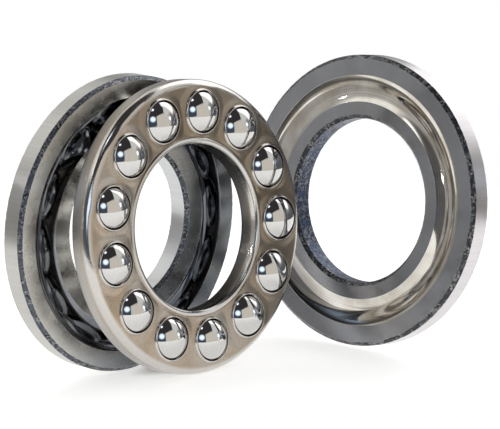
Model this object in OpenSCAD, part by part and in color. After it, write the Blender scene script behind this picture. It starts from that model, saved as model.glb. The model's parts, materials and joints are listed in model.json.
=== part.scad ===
// Single-direction thrust ball bearing: two grooved washers and a pressed cage of balls.
// Frame: the shaft's axis is Y, +Z is up, and the origin is the centre of the shaft washer's
// bore, half way through it. The three rings stand on edge on one level surface, below the
// origin by half the outside diameter, and each ring faces its own way.

/* [Bearing] */
// Outside diameter of both washers
outside_d = 47; // [46:0.5:50]
// Bore of the shaft washer, which is ground to fit the shaft
shaft_bore_d = 25; // [23:0.5:26]
// Bore of the housing washer, which clears the shaft
housing_bore_d = 26.5; // [25:0.5:28]
// Height over both washers when the bearing is closed up
bearing_h = 15; // [14.8:0.1:15.3]

/* [Washers] */
// Thickness of each washer
washer_t = 4.1; // [4:0.05:4.4]
// Width and depth of the chamfer on every corner of a washer
chamfer = 0.6; // [0.3:0.1:0.8]
// Radius of the groove's section as a share of the ball's diameter
groove_share = 0.54; // [0.52:0.01:0.56]

/* [Balls] */
// How many balls the cage holds
ball_count = 13; // [8:1:13]
// Diameter of a ball, five sixteenths of an inch
ball_d = 7.938; // [7.8:0.002:8]
// Diameter of the circle through the balls' centres
pitch_d = 36.2; // [36:0.1:36.4]
// Angle of the first ball, anticlockwise from the right as the cage's front is seen
first_ball_angle = 79; // [0:1:90]

/* [Cage] */
// Outside diameter of the cage
cage_outside_d = 46.4; // [46.2:0.1:46.6]
// Inside diameter of the cage
cage_inside_d = 26.2; // [26:0.1:26.4]
// Thickness of the pressed sheet
sheet_t = 0.7; // [0.6:0.05:0.75]
// Height of the flat web in front of the balls' centres
web_h = 2; // [1.8:0.05:2.1]
// Height of the collar round each pocket in front of the balls' centres
pocket_h = 2.4; // [2.25:0.05:2.6]
// Depth of the two skirts behind the balls' centres
skirt_h = 1.3; // [1.2:0.05:1.5]
// Gap between a ball and its pocket
pocket_gap = 0.12; // [0.1:0.01:0.15]

/* [Layout] */
// Rings standing apart on edge, or closed up as in use
layout = "apart"; // [apart, assembled]
// How far the cage stands in front of the shaft washer's grooved face, to the balls' centres
cage_ahead = 6.6; // [6:0.1:12]
// How far the cage stands to the right of the shaft washer
cage_aside = 6.1; // [0:0.1:10]
// How far the cage leans back, in degrees
cage_lean = 7.3; // [0:0.1:8]
// How far the cage is turned to the right of the shaft washer, in degrees
cage_turn = -0.7; // [-2:0.1:2]
// How far the housing washer's grooved face stands to the right of the shaft's axis
housing_aside = 37.4; // [36:0.1:60]
// How far the housing washer stands in front of the shaft washer's grooved face
housing_ahead = 14.1; // [0:0.1:30]
// How far the housing washer leans back, in degrees
housing_lean = 8; // [0:0.1:12]
// How far the housing washer is turned to face the other two, in degrees
housing_turn = -86.7; // [-90:0.1:-60]

/* [Hidden] */
$fn = 96;
outside_r = outside_d / 2;
pitch_r = pitch_d / 2;
ball_r = ball_d / 2;
groove_r = groove_share * ball_d;
// A closed-up bearing puts the ball's two contact points this far from its centre plane
groove_depth = washer_t - (bearing_h - ball_d) / 2;
cut = 1;                       // how far a cutting shape runs past the face that it cuts
cage_outer_r = cage_outside_d / 2;
cage_inner_r = cage_inside_d / 2;
pocket_r = ball_r + pocket_gap;
collar_r = sqrt(pocket_r * pocket_r - pocket_h * pocket_h) + 0.2; // radius of a pocket's collar at its top
collar_foot = 0.3;             // how far the collar starts below the web's top, and how much wider
edge_r = 1;                    // outside radius of the bend between the web and a skirt
bead_r = 0.55;                 // radius of the bead round the front of the cage's inner edge
bead_rise = 0.3;               // how far that bead's crest stands up from the web
lip_r = 0.3;                   // radius of the turned-in lips that keep the balls between the skirts
lip_gap = 0.07;                // gap between a ball and those lips
// Distance of a lip's centre from the circle of the balls' centres, in plan
lip_x = sqrt(pow(ball_r + lip_gap + lip_r, 2) - pow(skirt_h - lip_r, 2));
// Height of a leaning ring's centre that puts its lowest corner on the standing surface
function stand_z(r, lean, back) = -outside_r + r * cos(lean) + back * sin(lean);
function ball_name(i) = str("ball_", i < 10 ? "0" : "", i);
ball_numbers = [for (i = [1 : ball_count]) i];

// Stands a ring, drawn with its face up, on edge with its face looking along -Y, leans it back
// and turns it. Its place is counted from the centre of the shaft washer's grooved face.
module stand(aside, ahead, up, turn, lean) {
    translate([aside, -washer_t / 2 - ahead, up]) rotate([90 - lean, 0, turn]) children();
}

// A washer with its grooved face at Z = 0 and its seating face below
module washer(bore_d) {
    bore_r = bore_d / 2;
    rotate_extrude($fn = 180) difference() {
        polygon([
            [bore_r + chamfer, 0], [outside_r - chamfer, 0],
            [outside_r, -chamfer], [outside_r, chamfer - washer_t],
            [outside_r - chamfer, -washer_t], [bore_r + chamfer, -washer_t],
            [bore_r, chamfer - washer_t], [bore_r, -chamfer]
        ]);
        translate([pitch_r, groove_r - groove_depth]) circle(groove_r);
    }
}

// Half of a channel section, from the pitch circle out to a skirt
module channel_section(inner_r, outer_r, top, bend) {
    union() {
        translate([inner_r, -skirt_h]) square([outer_r - inner_r, skirt_h + top - bend]);
        translate([inner_r + bend, top - bend - cut]) square([outer_r - inner_r - 2 * bend, bend + cut]);
        for (x = [inner_r + bend, outer_r - bend]) translate([x, top - bend]) circle(bend);
    }
}

// The pressed ring before its pockets are cut: web, two skirts, bead and turned-in lips
module cage_channel() {
    rotate_extrude($fn = 180) {
        difference() {
            channel_section(cage_inner_r, cage_outer_r, web_h, edge_r);
            translate([0, -cut])
                channel_section(cage_inner_r + sheet_t, cage_outer_r - sheet_t,
                    web_h - sheet_t + cut, edge_r - sheet_t);
        }
        translate([cage_inner_r + bead_r, web_h + bead_rise - bead_r]) circle(bead_r);
        for (side = [-1, 1])
            translate([pitch_r + side * lip_x, lip_r - skirt_h]) circle(lip_r);
    }
}

// Puts its children at each ball's place round the pitch circle
module at_ball(i) {
    rotate(first_ball_angle - (i - 1) * 360 / ball_count) translate([pitch_r, 0]) children();
}

// The cage, with its front up and the balls' centres at Z = 0
module cage_ring() {
    difference() {
        union() {
            cage_channel();
            for (i = ball_numbers) at_ball(i) translate([0, 0, web_h - collar_foot])
                cylinder(r1 = collar_r + collar_foot, r2 = collar_r, h = pocket_h - web_h + collar_foot);
        }
        for (i = ball_numbers) at_ball(i) sphere(pocket_r);
    }
}

module stand_cage() {
    if (layout == "assembled") stand(0, bearing_h / 2 - washer_t, 0, 0, 0) children();
    else stand(cage_aside, cage_ahead, stand_z(cage_outer_r, cage_lean, skirt_h), cage_turn, cage_lean)
        children();
}

module shaft_washer() {
    color("silver") stand(0, 0, 0, 0, 0) washer(shaft_bore_d);
}

module housing_washer() {
    color("lightgray")
        if (layout == "assembled") stand(0, bearing_h - 2 * washer_t, 0, 180, 0) washer(housing_bore_d);
        else stand(housing_aside, housing_ahead,
            stand_z(outside_r, housing_lean, washer_t - chamfer), housing_turn, housing_lean)
            washer(housing_bore_d);
}

module cage() {
    color("tan") stand_cage() cage_ring();
}

module ball(i) {
    color("gainsboro") stand_cage() at_ball(i) sphere(ball_r);
}

shaft_washer();
housing_washer();
cage();
for (i = ball_numbers) ball(i);
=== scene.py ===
"""Looks of a thrust ball bearing: two grooved washers and a pressed cage of balls, on edge."""
import json
import math

import bmesh
import bpy
import numpy as np
from mathutils import Matrix, Vector


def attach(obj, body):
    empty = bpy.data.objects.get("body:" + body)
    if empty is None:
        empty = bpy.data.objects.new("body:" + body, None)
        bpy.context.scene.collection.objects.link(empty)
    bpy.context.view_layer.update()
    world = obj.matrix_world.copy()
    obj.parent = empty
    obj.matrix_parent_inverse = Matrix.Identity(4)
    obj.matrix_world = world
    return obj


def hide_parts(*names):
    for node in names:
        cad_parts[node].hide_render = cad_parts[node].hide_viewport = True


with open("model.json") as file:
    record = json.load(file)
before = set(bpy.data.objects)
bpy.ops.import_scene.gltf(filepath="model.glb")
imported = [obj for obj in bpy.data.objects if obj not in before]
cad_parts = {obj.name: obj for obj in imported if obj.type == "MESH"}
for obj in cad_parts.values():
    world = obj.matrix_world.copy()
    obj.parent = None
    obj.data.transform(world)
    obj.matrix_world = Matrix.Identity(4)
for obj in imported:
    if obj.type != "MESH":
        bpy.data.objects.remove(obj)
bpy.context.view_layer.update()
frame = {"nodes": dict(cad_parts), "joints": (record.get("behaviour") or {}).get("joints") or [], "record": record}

MM = 0.001
TURN = 2 * math.pi
QUARTER = math.pi / 2

# Washers and balls, in millimetres, the same as the CAD model's
OUTSIDE_R = 23.5
SHAFT_BORE_R = 12.5
HOUSING_BORE_R = 13.25
BEARING_H = 15
WASHER_T = 4.1
CHAMFER = 0.6
BALL_COUNT = 13
BALL_R = 3.969
PITCH_R = 18.1
GROOVE_SHARE = 0.54   # the groove's radius as a share of the ball's diameter
GROOVE_R = GROOVE_SHARE * 2 * BALL_R
GROOVE_DEPTH = WASHER_T - (BEARING_H - 2 * BALL_R) / 2

# Details that only the visual washers have
EDGE = 0.05           # rounding of the ground edges
GROOVE_EDGE = 0.16    # rounding of the groove's two edges
RAGGED = 0.05         # how far the width of a chamfer wanders
ROUND_STEPS = 576     # sections round a washer

# Cage, in millimetres, with heights counted from the balls' centres. The CAD model's outer bend
# is 1 mm, its collars are 0.1 mm lower, its holes 0.07 mm smaller, and its web is flat.
CAGE_OUTER_R = 23.2
CAGE_INNER_R = 13.1
SHEET_T = 0.7
WEB_H = 2.0
WEB_UNDER = WEB_H - SHEET_T
BEND_R = 1.3          # bend between the web and the outer skirt
BEAD_R = 0.55         # bead along the front of the inner skirt
BEAD_TOP = 2.3
SKIRT_H = 1.3
SKIRT_END_R = 0.1     # rounding of a skirt's end
LIP_R = 0.3           # lips turned in behind the balls
LIP_GAP = 0.07
LIP_X = math.sqrt((BALL_R + LIP_GAP + LIP_R) ** 2 - (SKIRT_H - LIP_R) ** 2)
POCKET_GAP = 0.12
POCKET_R = BALL_R + POCKET_GAP
HOLE_R = 3.38         # front edge of the hole that a ball stands out of
HOLE_EDGE = 0.04      # rounding of that edge
COLLAR_TOP_R = 3.46   # collar round a hole: radii of its top and its foot, and height of its top
COLLAR_R = 3.75
COLLAR_H = 2.5
SWELL_R = 5.0         # soft rise of the web up to a collar: where it starts, and how high it gets
SWELL_H = 0.14
SWELL_INNER = 13.85, 14.75   # that rise dies away between these radii, towards the bead
SWELL_OUTER = 22.1, 23.1     # and between these, towards the outer bend
SWELL_DEPTH = 0.55    # how far below the web's top the bends still follow the rise

mounts = {m["name"]: m for m in frame["record"]["mounts"]}
joints = {j["name"]: j for j in frame["joints"]}


# ---------------------------------------------------------------- places of the rings
def ring_matrix(centre, front):
    """A ring's own frame: +Z out of its front, +X level, and +Y up its front."""
    z = Vector(front).normalized()
    x = Vector((0, 0, 1)).cross(z).normalized()
    turn = Matrix((x, z.cross(x), z)).transposed()
    return Matrix.Translation(centre) @ turn.to_4x4()


def washer_matrix(mount, towards_front):
    """A washer's own frame, at its grooved face, from a mount half way through the washer."""
    front = Vector(mount["axis"]) * towards_front
    return ring_matrix(Vector(mount["pos_m"]) + front.normalized() * WASHER_T / 2 * MM, front)


shaft_place = washer_matrix(mounts["shaft_bore"], -1)
housing_place = washer_matrix(mounts["housing_rim"], -1)
cage_place = ring_matrix(
    Vector(joints["cage_orbit"]["pos_m"]), -Vector(joints["cage_orbit"]["axis"])
)


# ---------------------------------------------------------------- node helper
class Graph:
    """A short way to write shader nodes: each call adds one and returns its first output."""

    def __init__(self, tree):
        self.tree = tree
        tree.nodes.clear()

    def node(self, kind, settings=(), **inputs):
        """One node. Its inputs go by name, with _ for a space, or by number: i0, i1 and so on."""
        n = self.tree.nodes.new(kind)
        for key, value in dict(settings).items():
            setattr(n, key, value)
        for key, value in inputs.items():
            numbered = key[0] == "i" and key[1:].isdigit()
            socket = n.inputs[int(key[1:]) if numbered else key.replace("_", " ")]
            if isinstance(value, bpy.types.NodeSocket):
                self.tree.links.new(value, socket)
            else:
                socket.default_value = value
        return n

    def math(self, operation, a, b=0.0):
        return self.node("ShaderNodeMath", {"operation": operation}, i0=a, i1=b).outputs[0]

    def sum_of(self, *terms):
        """The sum of values, each given with its weight."""
        total, *others = [self.math("MULTIPLY", value, weight) for value, weight in terms]
        for other in others:
            total = self.math("ADD", total, other)
        return total

    def product_of(self, total, *others):
        for other in others:
            total = self.math("MULTIPLY", total, other)
        return total

    def vector(self, operation, a, b=(0, 0, 0)):
        n = self.node("ShaderNodeVectorMath", {"operation": operation}, i0=a, i1=b)
        return n.outputs["Value" if operation in ("DOT_PRODUCT", "LENGTH") else "Vector"]

    def ramp(self, value, low, high, to_low=0.0, to_high=1.0):
        """Takes low to to_low and high to to_high, with a soft start and end."""
        n = self.node(
            "ShaderNodeMapRange", {"interpolation_type": "SMOOTHSTEP"},
            i0=value, i1=low, i2=high, i3=to_low, i4=to_high,
        )
        return n.outputs[0]

    def mix(self, share, a, b):
        n = self.node("ShaderNodeMix", {"data_type": "RGBA"}, i0=share, i6=a, i7=b)
        return n.outputs[2]

    def noise(self, place, scale, detail=2.0, rough=0.5):
        n = self.node(
            "ShaderNodeTexNoise", {},
            Vector=place, Scale=scale, Detail=detail, Roughness=rough,
        )
        return n.outputs[0]

    def streaks(self, place, along_x, along_y, along_z):
        """Noise drawn out into streaks, from its scale along each axis."""
        return self.noise(self.vector("MULTIPLY", place, (along_x, along_y, along_z)), 1, 2, 0.6)

    def combine(self, x, y, z):
        return self.node("ShaderNodeCombineXYZ", {}, X=x, Y=y, Z=z).outputs[0]

    def bump(self, height, strength, distance):
        n = self.node(
            "ShaderNodeBump", {}, Height=height, Strength=strength, Distance=distance
        )
        return n.outputs[0]


def rgb(r, g, b):
    return (r, g, b, 1.0)


# ---------------------------------------------------------------- materials
# A ground face shines across its grinding lines, a quarter turn from the lines themselves
ACROSS_THE_LINES = 0.25


def new_material(name, ring=Matrix.Identity(4)):
    """A material whose pattern lies in a ring's own frame: (x, y, z, distance from its axis)."""
    material = bpy.data.materials.new(name)
    material.use_nodes = True
    g = Graph(material.node_tree)
    place = g.node("ShaderNodeTexCoord").outputs["Object"]
    if ring != Matrix.Identity(4):
        offset = g.vector("SUBTRACT", place, tuple(ring.translation))
        along = [g.vector("DOT_PRODUCT", offset, tuple(ring.col[k].xyz)) for k in range(3)]
        place = g.combine(*along)
    x, y, z = g.node("ShaderNodeSeparateXYZ", {}, i0=place).outputs
    r = g.math("SQRT", g.math("ADD", g.math("MULTIPLY", x, x), g.math("MULTIPLY", y, y)))
    return material, g, place, (x, y, z, r)


def round_the_ring(g, ring):
    """The direction that runs round a ring at each place on it."""
    place = g.node("ShaderNodeTexCoord").outputs["Object"]
    offset = g.vector("SUBTRACT", place, tuple(ring.translation))
    return g.vector("CROSS_PRODUCT", tuple(ring.col[2].xyz), offset)


def steel(g, base, roughness, normal, grain=0.0, along=None):
    """Bare steel. grain stretches its shine across the lines that run along a direction."""
    inputs = {"Base_Color": base, "Roughness": roughness, "Metallic": 1.0, "Normal": normal}
    if along:
        inputs["Tangent"] = along
        inputs["Anisotropic"] = grain
        inputs["Anisotropic_Rotation"] = ACROSS_THE_LINES
    shader = g.node("ShaderNodeBsdfPrincipled", {}, **inputs)
    g.node("ShaderNodeOutputMaterial", {}, Surface=shader.outputs[0])


def darker_side(g, base, x, y, z, side):
    """Darkens one side of a washer's front with a painted dark reflection. side is (share of x, share of y, where
    it starts and where it is full in mm, colour). It is painted on, so it turns with the washer."""
    share_x, share_y, start, full, colour = side
    across = g.ramp(g.sum_of((x, share_x), (y, share_y)), start * MM, full * MM, 0.0, 0.85)
    front = g.ramp(z, -3 * MM, -2 * MM)
    return g.mix(g.product_of(across, front), base, colour)


def ground_face(name, ring, bright, dark, rough, side=None):
    """A ground flat face: fine lines round the ring, crossed by fainter straight ones."""
    material, g, place, (x, y, z, r) = new_material(name, ring)
    rings = g.noise(g.combine(r, 0.0, 0.0), 9000, 3, 0.7)
    strokes = g.streaks(place, 14000, 500, 1)
    cloud = g.noise(place, 160, 3, 0.6)
    tone = g.sum_of((rings, 0.35), (strokes, 0.35), (cloud, 0.5))
    base = g.mix(g.ramp(tone, 0.35, 0.85), dark, bright)
    if side:
        base = darker_side(g, base, x, y, z, side)
    roughness = g.ramp(cloud, 0.3, 0.7, rough - 0.05, rough + 0.05)
    lines = g.bump(g.sum_of((rings, 1.0), (strokes, 0.8)), 0.25, 0.02 * MM)
    steel(g, base, roughness, lines, 0.6, round_the_ring(g, ring))
    return material


def ground_rim(name, ring, bright, dark):
    """A ground rim or bore: lines along it and a slow change of shade round it."""
    material, g, place, (x, y, z, r) = new_material(name, ring)
    lines = g.noise(g.combine(0.0, 0.0, z), 16000, 3, 0.7)
    across = g.streaks(place, 2500, 2500, 60)
    cloud = g.noise(place, 120, 2, 0.5)
    tone = g.sum_of((lines, 0.4), (across, 0.3), (cloud, 0.5))
    base = g.mix(g.ramp(tone, 0.4, 0.85), dark, bright)
    roughness = g.ramp(cloud, 0.3, 0.7, 0.27, 0.37)
    steel(g, base, roughness, g.bump(across, 0.2, 0.02 * MM), 0.7, round_the_ring(g, ring))
    return material


def polished_groove(name, ring, bright, dark, side):
    """The polished track: a mirror with very fine lines round the ring."""
    material, g, place, (x, y, z, r) = new_material(name, ring)
    lines = g.noise(g.combine(r, 0.0, 0.0), 7000, 3, 0.7)
    cloud = g.noise(place, 140, 3, 0.6)
    base = g.mix(g.ramp(g.sum_of((lines, 0.6), (cloud, 0.4)), 0.4, 0.6), bright, dark)
    base = darker_side(g, base, x, y, z, side)
    roughness = g.ramp(cloud, 0.3, 0.7, 0.04, 0.11)
    steel(g, base, roughness, g.bump(lines, 0.15, 0.01 * MM), 0.5, round_the_ring(g, ring))
    return material


def rough_turned(name, ring, light, dark, tint):
    """A turned and blackened face that was never ground: dark, pitted and full of glints."""
    material, g, place, _ = new_material(name, ring)
    pits = g.noise(place, 2600, 4, 0.7)
    patches = g.noise(place, 700, 3, 0.6)
    base = g.mix(g.ramp(pits, 0.42, 0.62), dark, light)
    base = g.mix(g.ramp(patches, 0.45, 0.6), base, tint)
    roughness = g.ramp(patches, 0.35, 0.65, 0.45, 0.25)
    steel(g, base, roughness, g.bump(g.sum_of((pits, 1.0), (patches, 0.7)), 0.9, 0.12 * MM))
    return material


def pressed_sheet():
    """The cage: tumbled sheet steel, tan on its face and worn bright on its bends and collars."""
    material, g, place, (x, y, z, r) = new_material("cage_sheet", cage_place)
    cloud = g.noise(place, 150, 3, 0.55)
    grain = g.noise(place, 2600, 3, 0.6)
    base = g.mix(g.ramp(cloud, 0.35, 0.65), rgb(0.43, 0.345, 0.26), rgb(0.47, 0.42, 0.36))
    base = g.mix(g.ramp(grain, 0.35, 0.75, 0.0, 0.35), base, rgb(0.27, 0.23, 0.185))
    # The upper right of the face is darker, with an uneven edge. This is painted on as well, in
    # place of a dark reflection, and isn't a real stain.
    uneven = g.math("SUBTRACT", cloud, 0.5)
    across = g.sum_of((x, 0.8), (y, 0.5), (uneven, 12 * MM))
    base = g.mix(g.ramp(across, -7 * MM, 5 * MM, 0.0, 0.75), base, rgb(0.23, 0.185, 0.135))
    # Below the bends the skirts are greyer, and darker inside the bore
    bore, outside = rgb(0.20, 0.19, 0.175), rgb(0.44, 0.42, 0.40)
    skirt = g.mix(g.ramp(r, 14.0 * MM, 15.0 * MM), bore, outside)
    base = g.mix(g.ramp(z, 0.9 * MM, 0.1 * MM), base, skirt)
    # The outer bend, the bead and the tops of the collars are worn bright
    outer_bend, bead = g.ramp(r, 21.9 * MM, 22.5 * MM), g.ramp(r, 14.15 * MM, 13.8 * MM)
    bends = g.product_of(g.math("ADD", outer_bend, bead), g.ramp(z, 0.6 * MM, 1.3 * MM))
    worn = g.math("MAXIMUM", bends, g.ramp(z, 2.17 * MM, 2.34 * MM))
    worn = g.product_of(worn, g.ramp(grain, 0.2, 0.5, 0.7, 1.0))
    base = g.mix(worn, base, rgb(0.60, 0.58, 0.55))
    smoother = g.math("SUBTRACT", 1.0, g.math("MULTIPLY", worn, 0.5))
    roughness = g.product_of(g.ramp(cloud, 0.3, 0.7, 0.26, 0.34), smoother)
    steel(g, base, roughness, g.bump(grain, 0.25, 0.04 * MM))
    return material


def sheet_inside_painted_shade():
    """The cage's inside and back: painted dark, as painted shade for the narrow gaps between the rings that they
    face.
    """
    material, g, place, _ = new_material("cage_inside_painted_shade", cage_place)
    cloud = g.noise(place, 300, 3, 0.6)
    base = g.mix(g.ramp(cloud, 0.35, 0.65), rgb(0.10, 0.08, 0.065), rgb(0.18, 0.155, 0.135))
    steel(g, base, g.ramp(cloud, 0.3, 0.7, 0.22, 0.36), g.bump(cloud, 0.3, 0.1 * MM))
    return material


def lapped_ball():
    """A lapped ball: a mirror, with hair-fine marks that show it turning."""
    material, g, place, _ = new_material("ball_mirror")
    warp = g.noise(place, 300, 2, 0.5)
    marks = g.streaks(place, 9000, 700, 900)
    marked = g.ramp(marks, 0.45, 0.7, 0.0, 0.5)
    base = g.mix(marked, rgb(0.63, 0.62, 0.605), rgb(0.55, 0.55, 0.555))
    steel(g, base, g.ramp(warp, 0.3, 0.7, 0.03, 0.07), g.bump(marks, 0.05, 0.01 * MM))
    return material


# ---------------------------------------------------------------- meshes
def mesh_object(name, vertices, faces, normals, materials, face_materials, place):
    """A mesh drawn in a ring's own frame, in millimetres, put in its place in the row frame."""
    turn = np.array(place.to_3x3())
    placed = np.asarray(vertices) * MM @ turn.T + np.array(place.translation)
    mesh = bpy.data.meshes.new(name)
    mesh.from_pydata(placed.tolist(), [], faces)
    for m in materials:
        mesh.materials.append(m)
    mesh.polygons.foreach_set("material_index", face_materials)
    mesh.polygons.foreach_set("use_smooth", [True] * len(faces))
    mesh.update()
    if normals is not None:
        mesh.normals_split_custom_set_from_vertices((np.asarray(normals) @ turn.T).tolist())
    obj = bpy.data.objects.new(name, mesh)
    bpy.context.scene.collection.objects.link(obj)
    return obj


# ---------------------------------------------------------------- washers
def arc(centre, radius, start, end, steps):
    """Points of an arc with their outward normals; angles in degrees."""
    out = []
    for k in range(steps + 1):
        a = math.radians(start + (end - start) * k / steps)
        n = (math.cos(a), math.sin(a))
        out.append(((centre[0] + radius * n[0], centre[1] + radius * n[1]), n))
    return out


def rounded_corner(before, corner, after, radius, steps=3):
    """The rounded corner of two straight edges, as points with outward normals."""
    p, c, q = (np.array(v, float) for v in (before, corner, after))
    a, b = (p - c) / np.linalg.norm(p - c), (q - c) / np.linalg.norm(q - c)
    half = math.acos(np.clip(a @ b, -1, 1)) / 2
    reach = radius / math.tan(half)
    middle = c + (a + b) / np.linalg.norm(a + b) * radius / math.sin(half)
    n0, n1 = (c + a * reach - middle) / radius, (c + b * reach - middle) / radius
    out = []
    for k in range(steps + 1):
        n = n0 * (1 - k / steps) + n1 * k / steps
        n /= np.linalg.norm(n)
        out.append((tuple(middle + radius * n), tuple(n)))
    return out


def washer_profile(bore_r, chamfers):
    """One washer's section at one place round it, from the front bore chamfer outwards.
    chamfers are the widths of the front inner, front outer, back outer and back inner ones."""
    front_in, front_out, back_out, back_in = chamfers
    corners = [
        (bore_r, -front_in), (bore_r + front_in, 0),
        (OUTSIDE_R - front_out, 0), (OUTSIDE_R, -front_out),
        (OUTSIDE_R, back_out - WASHER_T), (OUTSIDE_R - back_out, -WASHER_T),
        (bore_r + back_in, -WASHER_T), (bore_r, back_in - WASHER_T),
    ]
    rounded = [
        rounded_corner(corners[k - 1], corners[k], corners[(k + 1) % 8], EDGE) for k in range(8)
    ]
    centre = (PITCH_R, GROOVE_R - GROOVE_DEPTH)
    reach = math.sqrt((GROOVE_R + GROOVE_EDGE) ** 2 - (centre[1] + GROOVE_EDGE) ** 2)
    tilt = math.degrees(math.asin((centre[1] + GROOVE_EDGE) / (GROOVE_R + GROOVE_EDGE)))
    inner_edge = arc((PITCH_R - reach, -GROOVE_EDGE), GROOVE_EDGE, 90, tilt, 4)
    outer_edge = arc((PITCH_R + reach, -GROOVE_EDGE), GROOVE_EDGE, 180 - tilt, 90, 4)
    track = [(p, (-n[0], -n[1])) for p, n in arc(centre, GROOVE_R, 180 + tilt, 360 - tilt, 36)]
    zones = [
        ("rough", rounded[0][1:] + rounded[1][:-1]),
        ("land", rounded[1][-1:] + inner_edge[:1]),
        ("edge", inner_edge[1:-1]),
        ("groove", track),
        ("edge", outer_edge[1:-1]),
        ("land", outer_edge[-1:] + rounded[2][:1]),
        ("rough", rounded[2][1:] + rounded[3][:-1]),
        ("rim", rounded[3][-1:] + rounded[4][:1]),
        ("rough", rounded[4][1:] + rounded[5][:-1]),
        ("land", rounded[5][-1:] + rounded[6][:1]),
        ("rough", rounded[6][1:] + rounded[7][:-1]),
        ("bore", rounded[7][-1:] + rounded[0][:1]),
    ]
    return [(p, n, zone) for zone, points in zones for p, n in points]


def ragged(seed):
    """How far a ragged edge wanders at each section round a washer, the same on every run."""
    draw = np.random.default_rng(seed)
    angle = np.arange(ROUND_STEPS) * TURN / ROUND_STEPS
    waves = np.zeros(ROUND_STEPS)
    for harmonic in (2, 3, 5, 9, 17, 31, 47, 67, 83, 97, 113, 131):
        waves += draw.uniform(0.3, 1.0) * np.sin(harmonic * angle + draw.uniform(0, TURN))
    return RAGGED * waves / 4


def washer(name, bore_r, place, materials, seed):
    """One washer, with a material for each zone of its section and ragged chamfers."""
    wave = [ragged(seed + k) for k in range(4)]
    slots = list(materials)
    vertices, normals = [], []
    for j in range(ROUND_STEPS):
        section = washer_profile(bore_r, [CHAMFER + wave[k][j] for k in range(4)])
        a = j * TURN / ROUND_STEPS
        c, s = math.cos(a), math.sin(a)
        for (r, z), (nr, nz), _ in section:
            vertices.append((r * c, r * s, z))
            normals.append((nr * c, nr * s, nz))
    size = len(section)
    zones = [zone for _, _, zone in section]
    faces, picks = [], []
    for j in range(ROUND_STEPS):
        here, there = j * size, ((j + 1) % ROUND_STEPS) * size
        for k in range(size):
            k2 = (k + 1) % size
            faces.append((here + k, here + k2, there + k2, there + k))
            picks.append(slots.index(zones[k] if zones[k] == zones[k2] else "edge"))
    return mesh_object(name, vertices, faces, normals, list(materials.values()), picks, place)


# ---------------------------------------------------------------- cage
# Each ball has its share of the cage: a piece of the web with its hole, and a strip of each skirt
HALF_SHARE = math.pi / BALL_COUNT
WEB_INNER_R, WEB_OUTER_R = 14.25, CAGE_OUTER_R - BEND_R
ARC_STEPS, SIDE_STEPS = 30, 20
UNDER_STEPS, WALL_STEPS, COLLAR_STEPS, TOP_STEPS = 4, 6, 7, 12
# First ball's angle round the cage, anticlockwise from the level line as its front is seen
ball_1 = cage_place.inverted() @ Vector(joints["ball_01_spin"]["pos_m"])
FIRST_BALL = math.atan2(ball_1.y, ball_1.x)


def fade(value, low, high):
    """0 up to low and 1 from high on, with a soft start and end."""
    t = np.clip((value - low) / (high - low), 0, 1)
    return t * t * (3 - 2 * t)


def web_height(x, y, base):
    """The web's top at a point of a share, raised round its own ball and its neighbours."""
    flat = 1.0
    for side in (-1, 0, 1):
        angle = 2 * HALF_SHARE * side
        away = np.hypot(x - PITCH_R * math.cos(angle), y - PITCH_R * math.sin(angle))
        flat = flat * (1 - fade(-away, -SWELL_R, -COLLAR_R))
    r = np.hypot(x, y)
    off_the_edges = fade(r, *SWELL_INNER) * fade(-r, -SWELL_OUTER[1], -SWELL_OUTER[0])
    collar = fade(-np.hypot(x - PITCH_R, y), -COLLAR_R, -COLLAR_TOP_R)
    swell = SWELL_H * (1 - flat) * off_the_edges
    return base + swell + (COLLAR_H - WEB_H - SWELL_H) * collar


def web_share():
    """One share of the web as closed rows of points: in along its under side, up through its
    hole and out over its top. Also gives how many of the rows come before the top."""
    along = [2 * HALF_SHARE * k / ARC_STEPS for k in range(ARC_STEPS)]
    across = [(WEB_OUTER_R - WEB_INNER_R) * k / SIDE_STEPS for k in range(SIDE_STEPS)]
    edge = [(WEB_OUTER_R, a - HALF_SHARE) for a in along]
    edge += [(WEB_OUTER_R - d, HALF_SHARE) for d in across]
    edge += [(WEB_INNER_R, HALF_SHARE - a) for a in along]
    edge += [(WEB_INNER_R + d, -HALF_SHARE) for d in across]
    edge = np.array([(r * math.cos(a), r * math.sin(a)) for r, a in edge])
    centre = np.array((PITCH_R, 0.0))
    away = edge - centre
    reach = np.linalg.norm(away, axis=1)[:, None]
    away /= reach

    def level(points, z):
        return np.c_[points, np.full(len(points), z)]

    # Under side: flat, from the share's edge in to the pocket
    under_r = math.sqrt(POCKET_R**2 - WEB_UNDER**2)
    rows = []
    for k in range(UNDER_STEPS):
        s = k / UNDER_STEPS
        rows.append(level(edge * (1 - s) + (centre + away * under_r) * s, WEB_UNDER))
    # Pocket: round the ball as far as its wall, then straight up to the hole's edge
    wall_r = HOLE_R - HOLE_EDGE
    low, high = math.asin(WEB_UNDER / POCKET_R), math.acos(wall_r / POCKET_R)
    for k in range(WALL_STEPS + 1):
        a = low + (high - low) * k / WALL_STEPS
        rows.append(level(centre + away * POCKET_R * math.cos(a), POCKET_R * math.sin(a)))
    half_round = 0.3 * HOLE_EDGE
    for radius, below_top in ((wall_r, HOLE_EDGE), (wall_r + half_round, half_round)):
        rows.append(level(centre + away * radius, COLLAR_H - below_top))
    rows_before_top = len(rows)
    # Top: from the hole's edge down the collar and out to the share's edge
    foot = np.minimum(COLLAR_R + 0.05, reach - 0.02)
    radii = [HOLE_R + (foot - HOLE_R) * k / COLLAR_STEPS for k in range(COLLAR_STEPS)]
    radii += [foot + (reach - foot) * k / TOP_STEPS for k in range(TOP_STEPS + 1)]
    for radius in radii:
        p = centre + away * radius
        rows.append(np.c_[p, web_height(p[:, 0], p[:, 1], WEB_H)])
    return np.array(rows), rows_before_top


def run(start, end, steps):
    """A straight run of points between two, without the last one."""
    p, q = np.array(start, float), np.array(end, float)
    return [tuple(p + (q - p) * k / steps) for k in range(steps)]


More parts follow.
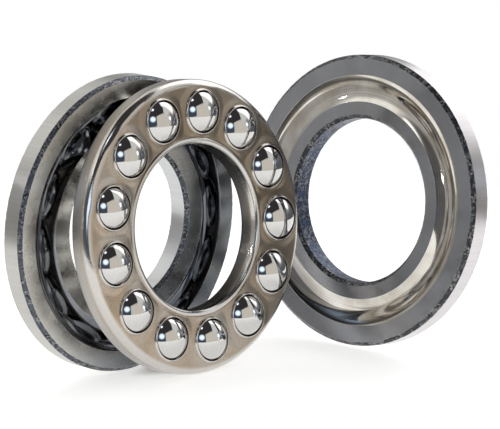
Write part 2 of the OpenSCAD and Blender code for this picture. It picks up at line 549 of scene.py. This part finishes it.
def skirt_line(wall, lip, side):
    """A skirt's section: from the web's top down its wall, round its end and its lip, and up its
    inside to the web. side is 1 for the outer skirt, and -1 for the inner one with its bead."""
    inner = wall - side * SHEET_T
    end_z = SKIRT_END_R - SKIRT_H
    if side > 0:
        bend_x, bend_z = wall - BEND_R, WEB_H - BEND_R
        line = [(bend_x + BEND_R * math.sin(a), bend_z + BEND_R * math.cos(a))
                for a in np.linspace(0, QUARTER, 11)[:-1]]
        line += run((wall, bend_z), (wall, end_z), 6)
        inner_bend = BEND_R - SHEET_T
    else:
        bead_x, bead_z = wall + BEAD_R, BEAD_TOP - BEAD_R
        foot = math.asin((WEB_H - bead_z) / BEAD_R)
        line = [(bead_x + BEAD_R * math.cos(a), bead_z + BEAD_R * math.sin(a))
                for a in np.linspace(foot, math.pi, 18)[:-1]]
        line += run((wall, bead_z), (wall, end_z), 8)
        inner_bend = WEB_INNER_R - inner
    line += [(wall - side * SKIRT_END_R * (1 - math.cos(a)), end_z - SKIRT_END_R * math.sin(a))
             for a in np.linspace(0, QUARTER, 4)[:-1]]
    line += run((wall - side * SKIRT_END_R, -SKIRT_H), (lip, -SKIRT_H), 3)
    line += [(lip - side * LIP_R * math.sin(a), LIP_R - SKIRT_H - LIP_R * math.cos(a))
             for a in np.linspace(0, 1.5 * QUARTER, 9)]
    inner_bend_z = WEB_UNDER - inner_bend
    line += run((inner, 2 * LIP_R - SKIRT_H + 0.15), (inner, inner_bend_z), 3)
    line += [(inner - side * inner_bend * (1 - math.sin(a)),
              inner_bend_z + inner_bend * math.cos(a))
             for a in np.linspace(QUARTER, 0, 5)]
    return line


def skirt_strip(line):
    """A skirt's section swept along one share, raised next to the web as the web is."""
    angles = np.array([-HALF_SHARE + 2 * HALF_SHARE * k / ARC_STEPS for k in range(ARC_STEPS + 1)])
    line = np.array(line)
    x = line[:, 0][None, :] * np.cos(angles)[:, None]
    y = line[:, 0][None, :] * np.sin(angles)[:, None]
    z = np.repeat(line[:, 1][None, :], len(angles), 0)
    z = np.where(z > WEB_H - SWELL_DEPTH, web_height(x, y, z), z)
    return np.stack([x, y, z], -1)


def turned(points, angle):
    c, s = math.cos(angle), math.sin(angle)
    x, y, z = points[..., 0], points[..., 1], points[..., 2]
    return np.stack([x * c - y * s, x * s + y * c, z], -1)


def cage():
    """The pressed cage: its thirteen shares, joined into one closed mesh."""
    vertices, faces, inside = [], [], []

    def add_grid(grid, closed, hidden):
        """Adds a grid of points. hidden tells which of its rows lie on the cage's inside, or
        which of its columns if its rows aren't closed."""
        start = len(vertices)
        rows, cols = grid.shape[:2]
        vertices.extend(map(tuple, grid.reshape(-1, 3)))
        for a in range(rows - 1):
            for b in range(cols if closed else cols - 1):
                b2 = (b + 1) % cols
                i = start + a * cols
                faces.append((i + b, i + b2, i + cols + b2, i + cols + b))
                inside.append(int(hidden[a] if closed else hidden[b]))

    web, rows_before_top = web_share()
    grids = [(web[:, ::-1], True, [k < rows_before_top for k in range(len(web))])]
    # The outer line starts at the bend, and the inner one on the web beside the bead
    outer_line = skirt_line(CAGE_OUTER_R, PITCH_R + LIP_X, 1)
    inner_line = [(WEB_INNER_R, WEB_H)] + skirt_line(CAGE_INNER_R, PITCH_R - LIP_X, -1)
    for line, order in ((outer_line, 1), (inner_line, -1)):
        turn_in = min(k for k, (_, z) in enumerate(line) if z < LIP_R - SKIRT_H - 0.25)
        hidden = [k > turn_in for k in range(len(line))]
        grids.append((skirt_strip(line)[::order], False, hidden))
    for i in range(BALL_COUNT):
        for grid, closed, hidden in grids:
            add_grid(turned(grid, FIRST_BALL - i * 2 * HALF_SHARE), closed, hidden)

    # The second look is the cage's inside and back, painted dark as painted shade
    looks = [pressed_sheet(), sheet_inside_painted_shade()]
    obj = mesh_object("cage_pressed", vertices, faces, None, looks, inside, cage_place)
    bm = bmesh.new()
    bm.from_mesh(obj.data)
    bmesh.ops.remove_doubles(bm, verts=bm.verts, dist=0.002 * MM)
    bmesh.ops.recalc_face_normals(bm, faces=bm.faces)
    bm.to_mesh(obj.data)
    bm.free()
    return obj


# ---------------------------------------------------------------- pieces
GROUND_EDGE = rgb(0.75, 0.74, 0.72), rgb(0.62, 0.61, 0.60), 0.2
# The washers' darker sides, painted in place of dark reflections that the studio doesn't give
shaft_side = (0.8, -0.6, -8, 12, rgb(0.22, 0.24, 0.27))
shaft_groove_side = (0.9, -0.4, -6, 12, rgb(0.09, 0.10, 0.12))
housing_side = (-0.7, -0.7, 13, 19, rgb(0.13, 0.13, 0.14))

shaft_look = {
    "land": ground_face(
        "shaft_land", shaft_place,
        rgb(0.84, 0.82, 0.76), rgb(0.66, 0.65, 0.61), 0.26, shaft_side,
    ),
    "rim": ground_rim("shaft_rim", shaft_place, rgb(0.60, 0.59, 0.56), rgb(0.47, 0.46, 0.44)),
    "edge": ground_face("shaft_edge", shaft_place, *GROUND_EDGE),
    "groove": polished_groove(
        "shaft_groove", shaft_place,
        rgb(0.27, 0.28, 0.30), rgb(0.18, 0.19, 0.21), shaft_groove_side,
    ),
    "rough": rough_turned(
        "shaft_rough", shaft_place,
        rgb(0.34, 0.35, 0.37), rgb(0.03, 0.03, 0.035), rgb(0.10, 0.11, 0.13),
    ),
    "bore": ground_rim(
        "shaft_bore_face", shaft_place, rgb(0.66, 0.66, 0.66), rgb(0.54, 0.55, 0.56)
    ),
}
housing_look = {
    "land": ground_face(
        "housing_land", housing_place,
        rgb(0.47, 0.48, 0.51), rgb(0.36, 0.37, 0.39), 0.22, housing_side,
    ),
    "rim": ground_rim(
        "housing_rim", housing_place, rgb(0.78, 0.75, 0.76), rgb(0.62, 0.60, 0.61)
    ),
    "edge": ground_face("housing_edge", housing_place, *GROUND_EDGE),
    "groove": polished_groove(
        "housing_groove", housing_place,
        rgb(0.80, 0.78, 0.73), rgb(0.50, 0.45, 0.38), housing_side,
    ),
    "rough": rough_turned(
        "housing_rough", housing_place,
        rgb(0.34, 0.34, 0.34), rgb(0.02, 0.02, 0.022), rgb(0.05, 0.053, 0.06),
    ),
    "bore": rough_turned(
        "housing_bore_face", housing_place,
        rgb(0.24, 0.26, 0.31), rgb(0.02, 0.024, 0.035), rgb(0.05, 0.07, 0.12),
    ),
}

# The last number starts the draws that make a washer's chamfers ragged
shaft_ring = washer("shaft_washer_ground", SHAFT_BORE_R, shaft_place, shaft_look, 11)
housing_ring = washer("housing_washer_ground", HOUSING_BORE_R, housing_place, housing_look, 23)
pieces = [
    (shaft_ring, "shaft_washer", "shaft_washer_steel"),
    (housing_ring, "housing_washer", "housing_washer_steel"),
    (cage(), "cage", "cage_steel"),
]
for piece, node, slot in pieces:
    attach(piece, node)
    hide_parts(node)

ball_look = lapped_ball()
for i in range(1, BALL_COUNT + 1):
    ball = frame["nodes"][f"ball_{i:02d}"]
    ball.data.materials.clear()
    ball.data.materials.append(ball_look)

# ---------------------------------------------------------------- camera
# A long lens, a little above the rings, aimed between the two washers
AZIMUTH, ELEVATION = math.radians(-45.69), math.radians(12.202)
DISTANCE = 0.62834
AIM, AIM_RIGHT = Vector((0.018, -0.010, 0.0)), 0.00054
back = Vector((
    math.sin(AZIMUTH) * math.cos(ELEVATION),
    -math.cos(AZIMUTH) * math.cos(ELEVATION),
    math.sin(ELEVATION),
))
right = Vector((math.cos(AZIMUTH), math.sin(AZIMUTH), 0))
up = back.cross(right)
ahead = Vector((back.x, back.y, 0)).normalized()
camera = bpy.data.objects.new("camera", bpy.data.cameras.new("camera"))
bpy.context.scene.collection.objects.link(camera)
camera.data.lens = 284.7
camera.data.sensor_width = 36
camera.data.sensor_fit = "HORIZONTAL"
camera.data.clip_end = 20
camera_turn = Matrix((right, up, back)).transposed().to_4x4()
camera.matrix_world = Matrix.Translation(AIM + right * AIM_RIGHT + back * DISTANCE) @ camera_turn
bpy.context.scene.camera = camera

# ---------------------------------------------------------------- floor
# A round sheet, in metres, just under the rings
FLOOR_X, FLOOR_Y, FLOOR_Z = 0.01, -0.012, -(OUTSIDE_R + 0.02) * MM
FLOOR_R = 0.15
FLOOR_SIDES = 96
# The narrow gap between the shaft washer and the cage, an oval with these half widths in mm
GAP_CENTRE = (9 * MM, -5 * MM, FLOOR_Z)
GAP_X, GAP_Y = 10, 3.5
floor_mesh = bpy.data.meshes.new("floor")
angles = [k * TURN / FLOOR_SIDES for k in range(FLOOR_SIDES)]
rim_points = [
    (FLOOR_X + FLOOR_R * math.cos(a), FLOOR_Y + FLOOR_R * math.sin(a), FLOOR_Z) for a in angles
]
floor_mesh.from_pydata(rim_points, [], [tuple(range(FLOOR_SIDES))])
floor = bpy.data.objects.new("floor", floor_mesh)
bpy.context.scene.collection.objects.link(floor)
floor_material, g, place, _ = new_material("floor_paper")
tooth = g.noise(place, 300, 2, 0.5)
shader = g.node(
    "ShaderNodeBsdfPrincipled", {},
    Base_Color=g.mix(tooth, rgb(0.84, 0.84, 0.83), rgb(0.86, 0.86, 0.86)), Roughness=0.9,
)
shader.inputs["Specular IOR Level"].default_value = 0.0
shader.inputs["Emission Color"].default_value = rgb(1.0, 0.995, 0.98)
# A glow keeps the floor white, all but the gap, which gets little light
from_gap = g.vector("SUBTRACT", place, GAP_CENTRE)
from_gap = g.vector("LENGTH", g.vector("MULTIPLY", from_gap, (1 / GAP_X, 1 / GAP_Y, 0)))
glow = g.ramp(from_gap, 0.5 * MM, 1.3 * MM, 0.15, 0.62)
g.tree.links.new(glow, shader.inputs["Emission Strength"])
g.node("ShaderNodeOutputMaterial", {}, Surface=shader.outputs[0])
floor_mesh.materials.append(floor_material)

# ---------------------------------------------------------------- studio light
# The world is a studio drawn by direction, and the camera itself sees plain white behind it all
world = bpy.data.worlds.new("studio")
bpy.context.scene.world = world
world.use_nodes = True
g = Graph(world.node_tree)
way = g.node("ShaderNodeTexCoord").outputs["Generated"]
height = g.vector("DOT_PRODUCT", way, (0, 0, 1))
to_right = g.vector("DOT_PRODUCT", way, tuple(right))
to_front = g.vector("DOT_PRODUCT", way, tuple(ahead))
round_angle = g.math("MULTIPLY", g.math("ARCTAN2", to_right, to_front), 180 / math.pi)
rise_angle = g.math("MULTIPLY", g.math("ARCSINE", height), 180 / math.pi)


def ball_way(u, v):
    """The direction that a ball shows at u to its right and v up, in shares of its radius."""
    w = math.sqrt(1 - u * u - v * v)
    return right * 2 * w * u + up * 2 * w * v + back * (2 * w * w - 1)


def towards(round_degrees, rise_degrees):
    """A direction, in degrees to the camera's right and up from level."""
    a, e = math.radians(round_degrees), math.radians(rise_degrees)
    level = right * math.sin(a) + ahead * math.cos(a)
    return level * math.cos(e) + Vector((0, 0, math.sin(e)))


def side_of(a, b, inside, soft=0.012):
    """1 on the inside of the great circle through two directions, and 0 beyond it."""
    n = a.cross(b).normalized()
    if n.dot(inside) < 0:
        n = -n
    return g.ramp(g.vector("DOT_PRODUCT", way, tuple(n)), -soft, soft)


def disc(direction, radius, soft):
    """1 within radius degrees of a direction, fading over soft degrees more."""
    near, far = (math.cos(math.radians(k)) for k in (radius, radius + soft))
    return g.ramp(g.vector("DOT_PRODUCT", way, tuple(direction.normalized())), far, near)


def between(value, low, high, soft):
    start = g.ramp(value, low - soft, low + soft)
    return g.product_of(start, g.ramp(value, high - soft, high + soft, 1.0, 0.0))


# Each panel, in degrees: from and to round the camera's right, from and to up from level, then
# its colour and how soft its edges are
PANELS = (
    (15, 88, -99, 40, rgb(0.82, 0.77, 0.69), 8),      # warm wall to the right
    (93, 190, -99, 12, rgb(0.13, 0.13, 0.14), 10),    # dark side behind the rings, to the right
    (70, 112, 27, 62, rgb(0.85, 0.85, 0.82), 6),      # soft light high on the right
    (112, 170, 18, 62, rgb(1.9, 1.9, 1.9), 5),        # bright light behind the rings
    (-120, -62, 8, 30, rgb(0.50, 0.50, 0.49), 6),     # grey wall to the left
    (-190, -66, 30, 80, rgb(1.15, 1.15, 1.12), 6),    # soft light over that wall
    (-60, -20, -8, 36, rgb(0.12, 0.12, 0.13), 5),     # dark gap, near left
    (-62, -24, 40, 56, rgb(1.6, 1.6, 1.6), 3),        # strip of light over the gap
)
light = g.mix(g.ramp(height, -0.2, 0.7), rgb(0.42, 0.41, 0.40), rgb(0.34, 0.34, 0.35))
for left_edge, right_edge, bottom, top, colour, soft in PANELS:
    share = g.product_of(
        between(round_angle, left_edge, right_edge, soft), between(rise_angle, bottom, top, soft)
    )
    light = g.mix(share, light, colour)

# The dark shape beside the camera that each ball shows: a black upper part, and a bluer lower one
p1, p2, p3 = ball_way(0.235, 0.715), ball_way(0.41, 0.34), ball_way(0.135, 0.19)
p4, p5 = ball_way(0.16, -0.185), ball_way(-0.14, -0.235)
in_upper, in_lower = ball_way(0.1, 0.4), ball_way(0.0, -0.05)
left_end = g.ramp(to_right, -0.45, -0.35)
top_end = side_of(ball_way(-0.2, 0.75), p1, in_upper)
upper = g.product_of(
    side_of(p1, p2, in_upper), side_of(p2, p3, in_upper), top_end, left_end
)
lower = g.product_of(
    side_of(p3, p4, in_lower), side_of(p4, p5, in_lower), top_end, left_end
)
light = g.mix(upper, light, rgb(0.045, 0.042, 0.045))
lower_only = g.product_of(lower, g.math("SUBTRACT", 1.0, upper))
light = g.mix(lower_only, light, rgb(0.07, 0.09, 0.13))

# Each lamp: its direction, its radius and its softness in degrees, and its colour
SPOT = rgb(60, 62, 65)
LAMPS = (
    (ball_way(0.0, 0.075), 1, 15, rgb(1.5, 1.8, 2.25)),
    (ball_way(-0.03, 0.45), 1, 7, rgb(2.2, 2.4, 2.8)),
    (ball_way(0.66, 0.14), 3, 5, rgb(1.8, 2.0, 2.3)),
    (towards(-95, 22), 0.5, 0.4, SPOT),
    (towards(-57, 9), 0.5, 0.4, SPOT),
)
for direction, radius, soft, colour in LAMPS:
    light = g.mix(disc(direction, radius, soft), light, colour)

seen = g.node("ShaderNodeLightPath").outputs["Is Camera Ray"]
light = g.mix(seen, light, rgb(1.0, 1.0, 1.0))
background = g.node("ShaderNodeBackground", {}, Color=light, Strength=1.0)
g.node("ShaderNodeOutputWorld", {}, Surface=background.outputs[0])

bpy.context.scene.view_settings.view_transform = "Standard"
bpy.context.view_layer.update()
